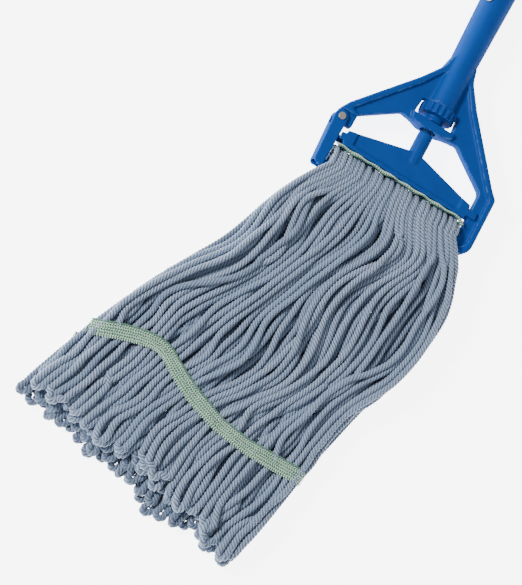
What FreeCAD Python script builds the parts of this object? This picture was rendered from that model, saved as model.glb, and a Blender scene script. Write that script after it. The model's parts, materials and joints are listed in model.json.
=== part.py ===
import FreeCAD, Part
import math
import os
import Sketcher
from FreeCAD import Placement, Rotation, Vector

# A string mop: a side-gate frame on a pole, with a looped-end mop head clamped in it.
# The mop lies flat: +Y runs up the pole towards the grip, +X towards the frame's closed leg, +Z is up.
# Sketches are drawn in the frame's own plane, with Y = 0 at the clamped jaw's lower edge and X = 0 on
# the pole's axis. At the end every piece is moved so that the origin is under the middle of the mop.

doc = FreeCAD.newDocument("string_mop")
sizes = doc.addObject("Spreadsheet::Sheet", "Sizes")

DIMENSIONS = {
    # Frame: outline, arms and legs
    "frame_half_width": 97.0, "frame_thickness": 18.0, "web_thickness": 11.0, "rim_width": 7.0,
    "shoulder_inset": 9.0, "shoulder_level": 43.0, "leg_level": 34.0, "leg_width": 18.0,
    "arm_root_x": 35.0, "arm_root_level": 107.0, "arm_depth": 30.0, "arm_round": 24.0,
    "corner_radius": 15.0, "inner_round": 6.0,
    "window_corner_inset": 21.0, "window_corner_level": 35.0,
    # Frame: bridge and wheel window
    "bridge_corner_x": 34.0, "bridge_corner_level": 64.0, "bridge_level": 61.0, "bridge_half_flat": 12.0,
    "bridge_wall": 1.4, "bridge_height": 10.5, "wheel_side_gap": 3.4,
    # Frame: crossbar and gate end
    "crossbar_level": -20.0, "crossbar_depth": 16.0, "crossbar_thickness": 12.0,
    "stub_level": 20.0, "stub_width": 7.0, "tongue_thickness": 10.4,
    # Frame: pole socket
    "socket_neck_wall": 2.3, "socket_mouth_wall": 5.1, "socket_neck_level": 146.0,
    "socket_mouth_level": 262.0, "socket_floor_level": 152.0, "fairing_radius": 16.0,
    # Gate
    "gate_width": 15.0, "gate_wall": 3.5, "pin_inset": 8.5, "pin_level": 25.0,
    "pin_radius": 2.5, "pin_head_radius": 4.0, "pin_head_height": 1.4, "gate_end_level": -30.0,
    "pin_running_gap": 0.05,
    # Jaw, screw and thumbwheel
    "jaw_end_height": 16.0, "jaw_block_height": 19.5, "jaw_peak_level": 33.0, "jaw_web_thickness": 13.0,
    "jaw_flange_height": 4.5, "jaw_block_length": 11.0, "jaw_finger_low": 4.0, "jaw_finger_high": 12.0,
    "boss_wall": 1.95, "boss_level": 58.0, "boss_foot_level": 6.0,
    "screw_radius": 6.25, "screw_seat_depth": 18.0, "screw_tip_level": 93.0, "jaw_travel": 8.0,
    "wheel_radius": 19.8, "wheel_width": 11.5, "wheel_hub_radius": 10.5, "wheel_hub_height": 6.0,
    "scallop_radius": 3.0, "scallop_count": 18.0, "wheel_bore_gap": 0.2,
    # Pole, rivet and end cap
    "pole_radius": 12.7, "pole_wall": 2.2, "pole_end_level": 1318.0,
    "rivet_level": 219.0, "rivet_lean": -40.0,
    "rivet_radius": 2.4, "rivet_head_radius": 4.4, "rivet_head_height": 1.2,
    "cap_wall": 3.8, "cap_sleeve": 34.0, "cap_nose": 22.0, "cap_flat": 16.0, "hang_hole_radius": 4.0,
    # Mop head
    "crown_half_thickness": 19.0, "crown_round": 14.0, "crown_end_gap": 1.0, "headband_thickness": 1.6,
    "headband_reach": 16.0, "skirt_start": 29.0, "tail_band_width": 17.0, "tail_band_thickness": 1.2,
    "yarn_length": 404.0, "lower_loops_extra": 16.0,
    "tail_parting": 12.7, "tail_height": 25.0,
    # Clearances
    "floor_gap": 1.7, "slide_gap": 0.3, "screw_gap": 0.55, "body_gap": 0.7,
}
for row, (name, number) in enumerate(DIMENSIONS.items(), start=1):
    sizes.set("A%d" % row, name)
    sizes.set("B%d" % row, str(number))
    sizes.setAlias("B%d" % row, name)
doc.recompute()


def value(expression):
    """The number that an expression of spreadsheet names gives."""
    result = sizes.evalExpression(expression)
    return float(getattr(result, "Value", result))


def sheet_names(expression):
    """The same expression as the other objects of the document write it."""
    words = expression.replace("(", " ( ").replace(")", " ) ").split()
    return " ".join("Sizes." + word if word in DIMENSIONS else word for word in words)


def bind(thing, prop, expression):
    thing.setExpression(prop, sheet_names(expression))


# Heights and places that several pieces share, written once as expressions.
DECK = "( wheel_radius + floor_gap )"
SOCKET_NECK = "( pole_radius + socket_neck_wall )"
SOCKET_MOUTH = "( pole_radius + socket_mouth_wall )"
CAP = "( pole_radius + cap_wall )"
BOSS = "( screw_radius + boss_wall )"
PIN = "( pin_inset - frame_half_width )"
KNUCKLE = "( gate_width / 2 )"
TONGUE = "( gate_width / 2 - body_gap )"
LEG_INNER = "( frame_half_width - leg_width )"
BRIDGE_TOP = "( bridge_level + bridge_height )"
WHEEL_LOW = "( bridge_level + bridge_height + slide_gap )"
WINDOW_TOP = "( bridge_level + bridge_height + wheel_hub_height + wheel_width + slide_gap + slide_gap )"
HINGE_LEVEL = "( crossbar_level - crossbar_depth / 2 )"
GATE_INNER = "( pin_inset - frame_half_width + gate_width / 2 )"
STUB_OUTER = "( pin_inset - frame_half_width + gate_width / 2 + body_gap )"
CROWN_FRONT = "( 0 - body_gap - headband_thickness - slide_gap )"


def new_body(label):
    body = doc.addObject("PartDesign::Body", label)
    body.Label = label
    return body


def sketch_on(body, role, name):
    sketch = body.newObject("Sketcher::SketchObject", name)
    plane = [f for f in body.Origin.OriginFeatures if f.Role == role][0]
    sketch.AttachmentSupport = [(plane, "")]
    sketch.MapMode = "FlatFace"
    return sketch


def pin_point(sketch, geometry, end, across, along):
    """Holds one point of a sketch at its two distances from the sketch's origin."""
    for kind, expression in (("DistanceX", across), ("DistanceY", along)):
        number = value(expression)
        index = sketch.addConstraint(Sketcher.Constraint(kind, -1, 1, geometry, end, number))
        bind(sketch, "Constraints[%d]" % index, expression)


def polygon(sketch, corners):
    """A closed outline whose every corner is held at two expressions."""
    points = [Vector(value(x), value(y), 0) for x, y in corners]
    first = sketch.GeometryCount
    for start, end in zip(points, points[1:] + points[:1]):
        sketch.addGeometry(Part.LineSegment(start, end), False)
    for number, corner in enumerate(corners):
        following = first + (number + 1) % len(corners)
        sketch.addConstraint(Sketcher.Constraint("Coincident", first + number, 2, following, 1))
        pin_point(sketch, first + number, 1, *corner)


def circle(sketch, across, along, radius):
    centre = Vector(value(across), value(along), 0)
    number = sketch.addGeometry(Part.Circle(centre, Vector(0, 0, 1), value(radius)), False)
    pin_point(sketch, number, 3, across, along)
    index = sketch.addConstraint(Sketcher.Constraint("Radius", number, value(radius)))
    bind(sketch, "Constraints[%d]" % index, radius)


def pad(body, name, sketch, thickness, midplane=True):
    feature = body.newObject("PartDesign::Pad", name)
    feature.Profile = sketch
    feature.Midplane = midplane
    bind(feature, "Length", thickness)
    return feature


def slot_cut(body, name, sketch, thickness):
    """Removes a layer of the given thickness, centred on the sketch's plane."""
    feature = body.newObject("PartDesign::Pocket", name)
    feature.Profile = sketch
    feature.Midplane = True
    bind(feature, "Length", thickness)
    return feature


def face_cut(body, name, corners, web):
    """Lowers both faces of a region, down to a web of the given thickness."""
    for side in (1, -1):
        word = "front" if side > 0 else "back"
        sketch = sketch_on(body, "XY_Plane", "%s_%s_outline" % (name, word))
        polygon(sketch, corners)
        sketch.AttachmentOffset = Placement(Vector(0, 0, side * value("frame_thickness")), Rotation())
        bind(sketch, ".AttachmentOffset.Base.z", "%d * frame_thickness" % side)
        feature = body.newObject("PartDesign::Pocket", "%s_%s" % (name, word))
        feature.Profile = sketch
        feature.Reversed = side < 0
        bind(feature, "Length", "frame_thickness - %s / 2" % web)


def turned(body, name, corners, removes=False):
    """A profile in the XY plane, turned about the pole's axis."""
    sketch = sketch_on(body, "XY_Plane", name + "_profile")
    polygon(sketch, corners)
    kind = "PartDesign::Groove" if removes else "PartDesign::Revolution"
    feature = body.newObject(kind, name)
    feature.Profile = sketch
    feature.ReferenceAxis = (sketch, ["V_Axis"])
    feature.Angle = 360
    return feature


def lean(sketch, out=0.0):
    """Tilts a sketch of the rivet about the pole's axis, and moves it out along the rivet."""
    tilt = Rotation(Vector(0, 1, 0), value("rivet_lean"))
    sketch.AttachmentOffset = Placement(tilt.multVec(Vector(0, 0, out)), tilt)


def round_corners(body, name, base, corners, radius):
    """Rounds the edges that stand on the given corners of an outline."""
    doc.recompute()
    places = [(value(x), value(y)) for x, y in corners]
    chosen = []
    for number, edge in enumerate(base.Shape.Edges, start=1):
        box = edge.BoundBox
        upright = box.XLength < 0.01 and box.YLength < 0.01 and box.ZLength > 1
        if upright and any(math.hypot(box.XMin - x, box.YMin - y) < 0.05 for x, y in places):
            chosen.append("Edge%d" % number)
    feature = body.newObject("PartDesign::Fillet", name)
    feature.Base = (base, chosen)
    bind(feature, "Radius", radius)
    return feature


def mirrored(corners):
    """The same corners on the other side of the pole's axis, in reverse order."""
    return [("0 - ( %s )" % x, y) for x, y in reversed(corners)]


# The frame is one moulding. Its outline runs down the right arm and leg, along the crossbar to its
# free end, back inside, and up the short stub beside the gate's pin to the left shoulder.
SHOULDER = ("frame_half_width - shoulder_inset", "shoulder_level")
LEG_TOP = ("frame_half_width", "leg_level")
BRIDGE = [("bridge_corner_x", "bridge_corner_level"), ("bridge_half_flat", "bridge_level")]
RIGHT_SIDE = [
    (SOCKET_NECK + " - 0.6", "socket_neck_level"),
    (SOCKET_NECK + " + 3", "socket_neck_level - arm_depth / 2"),
    ("arm_root_x", "arm_root_level"),
    SHOULDER,
    LEG_TOP,
    ("frame_half_width", "crossbar_level"),
    ("frame_half_width", "crossbar_level - crossbar_depth"),
]
CROSSBAR_END = "( pin_inset - frame_half_width + gate_width / 2 + body_gap )"
INNER_SIDE = [
    (CROSSBAR_END, "crossbar_level - crossbar_depth"),
    (CROSSBAR_END, "crossbar_level"),
    (LEG_INNER, "crossbar_level"),
    (LEG_INNER, "window_corner_level - 4"),
    ("frame_half_width - window_corner_inset", "window_corner_level"),
]
STUB_INNER = "( pin_inset - frame_half_width + gate_width / 2 + body_gap + stub_width )"
LEFT_SIDE = [
    (STUB_INNER, "window_corner_level + 1"),
    (STUB_INNER, "stub_level"),
    (STUB_OUTER, "stub_level"),
    (STUB_OUTER, "pin_level + " + KNUCKLE + " + body_gap"),
    (PIN + " - 5", "pin_level + " + KNUCKLE + " + body_gap"),
    ("0 - frame_half_width + shoulder_inset", "shoulder_level"),
    ("0 - arm_root_x", "arm_root_level"),
    ("0 - " + SOCKET_NECK + " - 3", "socket_neck_level - arm_depth / 2"),
    ("0.6 - " + SOCKET_NECK, "socket_neck_level"),
]
frame = new_body("yoke_frame")
outline = sketch_on(frame, "XY_Plane", "frame_outline")
polygon(outline, RIGHT_SIDE + INNER_SIDE + BRIDGE + mirrored(BRIDGE) + LEFT_SIDE)
plate = pad(frame, "frame_plate", outline, "frame_thickness")
OUTER_CORNER = [("frame_half_width", "crossbar_level - crossbar_depth")]
rounded = round_corners(frame, "corner_round", plate, OUTER_CORNER, "corner_radius")
soft_corners = [SHOULDER, mirrored([SHOULDER])[0], LEG_TOP, (LEG_INNER, "crossbar_level"), BRIDGE[0],
                mirrored(BRIDGE)[1]]
softened = round_corners(frame, "shoulder_round", rounded, soft_corners, "inner_round")
ARM_ROOTS = [RIGHT_SIDE[1], RIGHT_SIDE[2], LEFT_SIDE[-2], LEFT_SIDE[-3]]
round_corners(frame, "arm_round", softened, ARM_ROOTS, "arm_round")

# The arms, the bridge, the leg and the J corner are a web inside a raised outer rim.
RIM_IN = "( frame_half_width - rim_width )"
RIM_RIGHT = [
    (SOCKET_NECK + " - rim_width", "socket_neck_level - arm_depth / 3"),
    ("arm_root_x - rim_width * 0.8", "arm_root_level - rim_width * 0.65"),
    ("frame_half_width - shoulder_inset - rim_width * 0.8", "shoulder_level - rim_width * 0.65"),
]
RECESS = RIM_RIGHT + [
    (RIM_IN, "leg_level - rim_width * 0.4"),
    (RIM_IN, "crossbar_level - 2"),
    (RIM_IN + " - rim_width", "crossbar_level - crossbar_depth + rim_width"),
    (LEG_INNER, "crossbar_level - crossbar_depth + rim_width"),
    (LEG_INNER + " - 1", "window_corner_level - 4"),
    ("bridge_half_flat", "bridge_level - 1"),
    ("0 - bridge_half_flat", "bridge_level - 1"),
    (STUB_INNER + " + 2", "window_corner_level - 2"),
    (STUB_INNER + " - 4", "window_corner_level + rim_width * 0.3"),
] + mirrored(RIM_RIGHT)
face_cut(frame, "recess", RECESS, "web_thickness")
STUB_FACE = [
    (STUB_INNER + " + 2", "stub_level - 1"), (STUB_INNER + " + 2", "window_corner_level - 2"),
    (STUB_OUTER + " - 1", "window_corner_level - 2"), (STUB_OUTER + " - 1", "stub_level - 1"),
]
face_cut(frame, "stub_recess", STUB_FACE, "web_thickness")
CROSSBAR_FACE = [
    (CROSSBAR_END + " - 1", "crossbar_level - crossbar_depth - 1"),
    (LEG_INNER, "crossbar_level - crossbar_depth - 1"),
    (LEG_INNER, "crossbar_level + 1"),
    (CROSSBAR_END + " - 1", "crossbar_level + 1"),
]
face_cut(frame, "crossbar_face", CROSSBAR_FACE, "crossbar_thickness")

# The pole socket and its fairing, which runs out between the arms.
turned(frame, "socket", [
    ("0", WINDOW_TOP),
    ("fairing_radius", WINDOW_TOP),
    (SOCKET_NECK, "socket_neck_level"),
    (SOCKET_MOUTH, "socket_mouth_level"),
    ("0", "socket_mouth_level"),
])
bridge_block = sketch_on(frame, "XY_Plane", "bridge_outline")
BRIDGE_HALF = [("bridge_half_flat", "bridge_level"), ("bridge_half_flat + 12", "bridge_level + 4"),
               ("bridge_half_flat + 14", BRIDGE_TOP)]
polygon(bridge_block, BRIDGE_HALF + mirrored(BRIDGE_HALF))
pad(frame, "bridge", bridge_block, "( " + BOSS + " + slide_gap + bridge_wall ) * 2")

# The window that the thumbwheel turns in, open through both faces.
window = sketch_on(frame, "XY_Plane", "wheel_window_outline")
WINDOW_HALF = [("wheel_radius + wheel_side_gap", BRIDGE_TOP),
               ("wheel_radius + wheel_side_gap - 2", WINDOW_TOP)]
polygon(window, WINDOW_HALF + mirrored(WINDOW_HALF))
slot_cut(frame, "wheel_window", window, SOCKET_MOUTH + " * 2")

# Bores on the pole's axis: the pole's seat, the screw's way up, and the guide for the jaw's boss.
SCREW_HOLE = "screw_radius + screw_gap"
turned(frame, "pole_seat", [("0", "socket_floor_level"), ("pole_radius", "socket_floor_level"),
                            ("pole_radius", "socket_mouth_level + 1"), ("0", "socket_mouth_level + 1")], True)
turned(frame, "screw_way", [
    ("0", "bridge_level - 1"),
    (BOSS + " + slide_gap", "bridge_level - 1"),
    (BOSS + " + slide_gap", "boss_level + jaw_travel + slide_gap"),
    (SCREW_HOLE, "boss_level + jaw_travel + slide_gap"),
    (SCREW_HOLE, "screw_tip_level + jaw_travel + slide_gap"),
    ("0", "screw_tip_level + jaw_travel + slide_gap"),
], True)

# The tongue between the gate's cheeks, and the tip of the crossbar that the gate closes over.
tongue = sketch_on(frame, "XY_Plane", "tongue_outline")
circle(tongue, PIN, "pin_level", TONGUE)
pad(frame, "tongue_eye", tongue, "tongue_thickness")
tongue_root = sketch_on(frame, "XY_Plane", "tongue_root_outline")
polygon(tongue_root, [
    (PIN + " - 5", "pin_level"), (STUB_OUTER + " + 1", "pin_level"),
    (STUB_OUTER + " + 1", "pin_level + " + KNUCKLE + " + body_gap + 1"),
    (PIN + " - 5", "pin_level + " + KNUCKLE + " + body_gap + 1"),
])
pad(frame, "tongue_root", tongue_root, "tongue_thickness")
tip = sketch_on(frame, "XY_Plane", "crossbar_tip_outline")
TIP_LOW = "( gate_end_level + 1 )"
polygon(tip, [
    (CROSSBAR_END + " + 1", "crossbar_level - 3"), (CROSSBAR_END + " + 1", TIP_LOW),
    (PIN + " + 1", TIP_LOW), (PIN + " + 1", "crossbar_level - 3"),
])
pad(frame, "crossbar_tip", tip, "tongue_thickness - 1")
pin_hole = sketch_on(frame, "XY_Plane", "pin_hole_outline")
circle(pin_hole, PIN, "pin_level", "pin_radius")
slot_cut(frame, "pin_hole", pin_hole, "frame_thickness * 2")
rivet_hole = sketch_on(frame, "XY_Plane", "rivet_hole_outline")
lean(rivet_hole)
circle(rivet_hole, "0", "rivet_level", "rivet_radius")
slot_cut(frame, "rivet_hole", rivet_hole, SOCKET_MOUTH + " * 3")

# The side gate: a channel, open towards the crossbar, with two cheeks round the frame's tongue.
gate = new_body("gate_arm")
gate_outline = sketch_on(gate, "XY_Plane", "gate_outline")
GATE_OUTER = "( pin_inset - frame_half_width - gate_width / 2 )"
polygon(gate_outline, [
    (GATE_OUTER, "pin_level"), (GATE_OUTER + " + 3", "gate_end_level"),
    (GATE_INNER + " - 1", "gate_end_level"), (GATE_INNER, "pin_level"),
])
gate_plate = pad(gate, "gate_plate", gate_outline, "frame_thickness")
GATE_TOE = [(GATE_OUTER + " + 3", "gate_end_level")]
round_corners(gate, "gate_toe", gate_plate, GATE_TOE, "gate_wall")
knuckle = sketch_on(gate, "XY_Plane", "knuckle_outline")
circle(knuckle, PIN, "pin_level", KNUCKLE)
pad(gate, "knuckle", knuckle, "frame_thickness")
channel = sketch_on(gate, "XY_Plane", "channel_outline")
polygon(channel, [
    (GATE_OUTER + " + gate_wall", "gate_end_level - 1"), (GATE_INNER + " + 1", "gate_end_level - 1"),
    (GATE_INNER + " + 1", "pin_level + " + KNUCKLE + " + 1"),
    (GATE_OUTER + " - 1", "pin_level + " + KNUCKLE + " + 1"),
    (GATE_OUTER + " - 1", "pin_level - " + TONGUE + " - 3"),
    (GATE_OUTER + " + gate_wall", "pin_level - " + TONGUE + " - 3"),
])
slot_cut(gate, "channel", channel, "tongue_thickness + slide_gap * 2")
gate_hole = sketch_on(gate, "XY_Plane", "gate_hole_outline")
circle(gate_hole, PIN, "pin_level", "pin_radius + pin_running_gap")
slot_cut(gate, "gate_hole", gate_hole, "frame_thickness * 2")

# The gate's pin, headed at both ends.
pin = new_body("gate_pin")
pin_shank = sketch_on(pin, "XY_Plane", "pin_outline")
circle(pin_shank, PIN, "pin_level", "pin_radius")
pad(pin, "pin_shank", pin_shank, "frame_thickness + slide_gap * 2")
for side in (1, -1):
    word = "front" if side > 0 else "back"
    head = sketch_on(pin, "XY_Plane", "pin_head_%s_outline" % word)
    circle(head, PIN, "pin_level", "pin_head_radius")
    bind(head, ".AttachmentOffset.Base.z", "%d * ( frame_thickness / 2 + slide_gap )" % side)
    head_pad = pad(pin, "pin_head_" + word, head, "pin_head_height", midplane=False)
    head_pad.Reversed = side < 0

# The clamp jaw: a tapered web with a flange along its edge, blocks and forked fingers at its ends, and
# a boss that the screw stands in.
jaw = new_body("jaw_bar")
JAW_END = "( %s - 4 )" % LEG_INNER
jaw_web = sketch_on(jaw, "XY_Plane", "jaw_outline")
JAW_HALF = [(JAW_END, "0"), (JAW_END, "jaw_end_height"),
            (JAW_END + " - jaw_block_length - 2", "jaw_block_height"), (BOSS + " + 0.8", "jaw_peak_level")]
polygon(jaw_web, JAW_HALF + mirrored(JAW_HALF))
pad(jaw, "jaw_web", jaw_web, "jaw_web_thickness")
flange = sketch_on(jaw, "XY_Plane", "flange_outline")
FLANGE_HALF = [(JAW_END, "0"), (JAW_END, "jaw_flange_height")]
polygon(flange, FLANGE_HALF + mirrored(FLANGE_HALF))
pad(jaw, "flange", flange, "frame_thickness")
block = sketch_on(jaw, "XY_Plane", "right_block_outline")
polygon(block, [
    (JAW_END + " - jaw_block_length", "0"), (JAW_END, "0"), (JAW_END, "jaw_finger_low"),
    (RIM_IN + " - 4", "jaw_finger_low"), (RIM_IN + " - 4", "jaw_finger_high"),
    (JAW_END, "jaw_finger_high"), (JAW_END, "jaw_end_height"),
    (JAW_END + " - jaw_block_length", "jaw_end_height + 2.4"),
])
pad(jaw, "right_block", block, "frame_thickness")
block = sketch_on(jaw, "XY_Plane", "left_block_outline")
polygon(block, [
    ("0 - %s" % JAW_END, "0"), ("0 - %s + jaw_block_length" % JAW_END, "0"),
    ("0 - %s + jaw_block_length" % JAW_END, "jaw_end_height + 2.4"),
    ("0 - %s" % JAW_END, "jaw_end_height"), ("0 - %s" % JAW_END, "jaw_finger_high"),
    (GATE_INNER + " + body_gap", "jaw_finger_high"), (GATE_INNER + " + body_gap", "jaw_finger_low"),
    ("0 - %s" % JAW_END, "jaw_finger_low"),
])
pad(jaw, "left_block", block, "frame_thickness")
turned(jaw, "boss", [
    ("0", "boss_foot_level"), ("2", "boss_foot_level"), (BOSS, "boss_foot_level + 18"),
    (BOSS, "boss_level"), ("0", "boss_level"),
])
fork = sketch_on(jaw, "XY_Plane", "fork_outline")
polygon(fork, [
    (JAW_END + " - 3", "0 - 1"), (LEG_INNER + " + leg_width", "0 - 1"),
    (LEG_INNER + " + leg_width", "jaw_block_height + 1"), (JAW_END + " - 3", "jaw_block_height + 1"),
])
slot_cut(jaw, "right_fork", fork, "web_thickness + slide_gap * 2")
fork = sketch_on(jaw, "XY_Plane", "left_fork_outline")
polygon(fork, [
    (GATE_OUTER, "0 - 1"), (STUB_INNER + " + body_gap", "0 - 1"),
    (STUB_INNER + " + body_gap", "jaw_block_height + 1"), (GATE_OUTER, "jaw_block_height + 1"),
])
slot_cut(jaw, "left_fork", fork, "web_thickness + slide_gap * 2")
turned(jaw, "screw_seat", [
    ("0", "boss_level - screw_seat_depth"), ("screw_radius", "boss_level - screw_seat_depth"),
    ("screw_radius", "boss_level + 1"), ("0", "boss_level + 1"),
], True)

# The screw stud. Its thread is a plain cylinder between the root and the crest.
screw = new_body("jaw_screw")
turned(screw, "stud", [
    ("0", "boss_level - screw_seat_depth"), ("screw_radius", "boss_level - screw_seat_depth"),
    ("screw_radius", "screw_tip_level - 1.5"), ("screw_radius - 1.5", "screw_tip_level"),
    ("0", "screw_tip_level"),
])

# The thumbwheel is the screw's nut, held between the window's two ends.
wheel = new_body("thumbwheel")
turned(wheel, "wheel_rim", [
    ("screw_radius + wheel_bore_gap", WHEEL_LOW), ("wheel_hub_radius", WHEEL_LOW),
    ("wheel_hub_radius", "%s + wheel_hub_height" % WHEEL_LOW),
    ("wheel_radius - 1", "%s + wheel_hub_height" % WHEEL_LOW),
    ("wheel_radius", "%s + wheel_hub_height + 1" % WHEEL_LOW),
    ("wheel_radius", "%s + wheel_hub_height + wheel_width - 1" % WHEEL_LOW),
    ("wheel_radius - 1", "%s + wheel_hub_height + wheel_width" % WHEEL_LOW),
    ("screw_radius + wheel_bore_gap", "%s + wheel_hub_height + wheel_width" % WHEEL_LOW),
])
scallop = sketch_on(wheel, "XZ_Plane", "scallop_outline")
circle(scallop, "wheel_radius + scallop_radius * 0.45", "0", "scallop_radius")
scallop_cut = wheel.newObject("PartDesign::Pocket", "scallop")
scallop_cut.Profile = scallop
scallop_cut.Type = "ThroughAll"
scallop_cut.Midplane = True
doc.recompute()
scallops = wheel.newObject("PartDesign::PolarPattern", "scallops")
scallops.Originals = [scallop_cut]
scallops.Axis = (scallop, ["N_Axis"])
scallops.Angle = 360
bind(scallops, "Occurrences", "scallop_count")
wheel.Tip = scallops

# The pole, its cross rivet and the grip's end cap.
pole = new_body("pole_tube")
turned(pole, "tube", [
    ("pole_radius - pole_wall", "socket_floor_level"), ("pole_radius", "socket_floor_level"),
    ("pole_radius", "pole_end_level"), ("pole_radius - pole_wall", "pole_end_level"),
])
pole_hole = sketch_on(pole, "XY_Plane", "pole_hole_outline")
lean(pole_hole)
circle(pole_hole, "0", "rivet_level", "rivet_radius")
slot_cut(pole, "pole_hole", pole_hole, "pole_radius * 4")

rivet = new_body("pole_rivet")
rivet_shank = sketch_on(rivet, "XY_Plane", "rivet_outline")
lean(rivet_shank)
circle(rivet_shank, "0", "rivet_level", "rivet_radius")
pad(rivet, "rivet_shank", rivet_shank, SOCKET_MOUTH + " * 2")
for side in (1, -1):
    word = "front" if side > 0 else "back"
    head = sketch_on(rivet, "XY_Plane", "rivet_head_%s_outline" % word)
    circle(head, "0", "rivet_level", "rivet_head_radius")
    lean(head, side * value(SOCKET_MOUTH + " - slide_gap * 2"))
    head_pad = pad(rivet, "rivet_head_" + word, head, "rivet_head_height", midplane=False)
    head_pad.Reversed = side < 0

cap = new_body("pole_end_cap")
turned(cap, "cap_shell", [
    ("pole_radius", "pole_end_level - cap_sleeve"), (CAP + " - 1.2", "pole_end_level - cap_sleeve"),
    (CAP, "pole_end_level - cap_sleeve + 4"), (CAP, "pole_end_level"),
    (CAP + " - 3", "pole_end_level + cap_nose - 4"), (CAP + " - 8", "pole_end_level + cap_nose"),
    ("0", "pole_end_level + cap_nose"), ("0", "pole_end_level"), ("pole_radius", "pole_end_level"),
])
CAP_FLAT = [("0 - " + CAP + " - 1", "pole_end_level + 2"), (CAP + " + 1", "pole_end_level + 2"),
            (CAP + " + 1", "pole_end_level + cap_nose + 1"),
            ("0 - " + CAP + " - 1", "pole_end_level + cap_nose + 1")]
face_cut(cap, "cap_flat", CAP_FLAT, "cap_flat")
cap_hole = sketch_on(cap, "XY_Plane", "hang_hole_outline")
circle(cap_hole, "0", "pole_end_level + cap_nose / 2 + 1", "hang_hole_radius")
slot_cut(cap, "hang_hole", cap_hole, CAP + " * 3")


# The yarn where it folds over the crossbar: a U round the bar, rounded at the fold.
def section(points, across):
    """A closed outline in a plane across the mop head, given as level and height pairs."""
    corners = [Vector(across, level, height) for level, height in points]
    return Part.makePolygon(corners + corners[:1])


def fold_profile(front, half, rounding, back, steps=6):
    """Level and height pairs of a bar that is round at its front."""
    turn = [math.pi / 2 * step / steps for step in range(steps + 1)]
    upper = [(front - rounding + rounding * math.sin(a), half - rounding + rounding * math.cos(a))
             for a in turn]
    lower = [(level, -height) for level, height in reversed(upper)]
    return [(back, half)] + upper + lower + [(back, -half)]


def between(profile, left, right):
    return Part.Face(section(profile, left)).extrude(Vector(right - left, 0, 0))


deck = value(DECK)
crown_left = value(CROSSBAR_END) + value("crown_end_gap")
crown_right = value(LEG_INNER) - value("inner_round") - value("slide_gap")
front = value(CROWN_FRONT)
half = value("crown_half_thickness")
rounding = value("crown_round")
back = value("crossbar_level - crossbar_depth")
wrap = value("headband_thickness")
gap = value("slide_gap")
outer = between(fold_profile(front, half, rounding, back), crown_left, crown_right)
bar_room = Part.makeBox(crown_right - crown_left + 2, value("crossbar_depth") + 1 + gap,
                        value("crossbar_thickness") + 2 * gap,
                        Vector(crown_left - 1, back - 1, -value("crossbar_thickness") / 2 - gap))
yarn_crown = doc.addObject("Part::Feature", "yarn_crown")
yarn_crown.Shape = outer.cut(bar_room)

skin = between(fold_profile(front + wrap, half + wrap, rounding + wrap, front - value("headband_reach")),
               crown_left - 1, crown_right + 1)
headband = doc.addObject("Part::Feature", "headband")
headband.Shape = skin.cut(between(fold_profile(front, half, rounding, back), crown_left - 2, crown_right + 2))


# The loose yarn: two halves, one on the other, fanning out and drifting to the gate's side.
# Each station has its share of the way down, its left and right edges as shares of the frame's half
# width, and the tilt of its line as a share of the yarn's length.
STATIONS = ((0.0, -0.99, 0.92, 0.0), (0.10, -1.08, 0.96, 0.0), (0.29, -1.40, 0.94, 0.01),
            (0.46, -1.76, 0.86, 0.02), (0.68, -2.10, 0.62, 0.035), (1.0, -2.34, 0.41, 0.05))
BAND_STATION = STATIONS[4]


def station_line(station, length):
    """The two ends of a station's line, left then right, as across and level pairs."""
    share, left, right, tilt = station
    half_width = value("frame_half_width")
    start = value(HINGE_LEVEL) - value("skirt_start")
    level = start - share * (length + start)
    return (left * half_width, level + tilt * length), (right * half_width, level - tilt * length)


def fan(length, faces, inset=0.0):
    """A half of the loose yarn: its plan, cut by its lower and upper faces, which slope to the loops.

    faces gives each face's height at the fold and at the end of the shorter half."""
    lines = [station_line(station, length) for station in STATIONS]
    edge = [Vector(left[0] + inset, left[1], -deck) for left, right in lines]
    edge += [Vector(right[0] - inset, right[1], -deck) for left, right in reversed(lines)]
    plan = Part.Face(Part.makePolygon(edge + edge[:1])).extrude(Vector(0, 0, deck * 3))
    start = lines[0][0][1]
    slopes = [(tail - top) / (value("yarn_length") + start) for top, tail in faces]
    levels = (start + 1, lines[-1][1][1] - 1)
    low, high = [[(level, top + slope * (start - level)) for level in levels]
                 for (top, tail), slope in zip(faces, slopes)]
    side = [(level, height + inset) for level, height in low]
    side += [(level, height - inset) for level, height in reversed(high)]
    reach = value("frame_half_width") * 3
    return plan.common(between(side, -reach, reach))


def banded(name, length, faces):
    """A half of the yarn and the tape round it, flush with the yarn that it presses flat."""
    whole_fan = fan(length, faces)
    pressed_fan = fan(length, faces, value("tail_band_thickness"))
    (x0, y0), (x1, y1) = station_line(BAND_STATION, length)
    slope = (y1 - y0) / (x1 - x0)
    reach = value("frame_half_width")
    width = value("tail_band_width")
    height = value(SOCKET_MOUTH) * 4
    left = Vector(x0 - reach, y0 - slope * reach + width / 2, -height / 2)
    right = Vector(x1 + reach, y1 + slope * reach + width / 2, -height / 2)
    down = Vector(0, -width, 0)
    outline = Part.makePolygon([left, right, right + down, left + down, left])
    around = Part.Face(outline).extrude(Vector(0, 0, height)).cut(pressed_fan)
    yarn = doc.addObject("Part::Feature", "yarn_%s_half" % name)
    yarn.Shape = whole_fan.cut(around)
    band = doc.addObject("Part::Feature", "tail_band_" + name)
    band.Shape = whole_fan.common(around)
    return yarn, band


floor_face = (-deck, -deck)
parting_face = (0.0, value("tail_parting") - deck)
upper_face = (half, value("tail_height") - deck)
lifted_parting = tuple(height + gap for height in parting_face)
upper, upper_band = banded("upper", value("yarn_length"), (lifted_parting, upper_face))
lower, lower_band = banded("lower", value("yarn_length + lower_loops_extra"), (floor_face, parting_face))
soft_pieces = [yarn_crown, headband, upper, upper_band, lower, lower_band]

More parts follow.
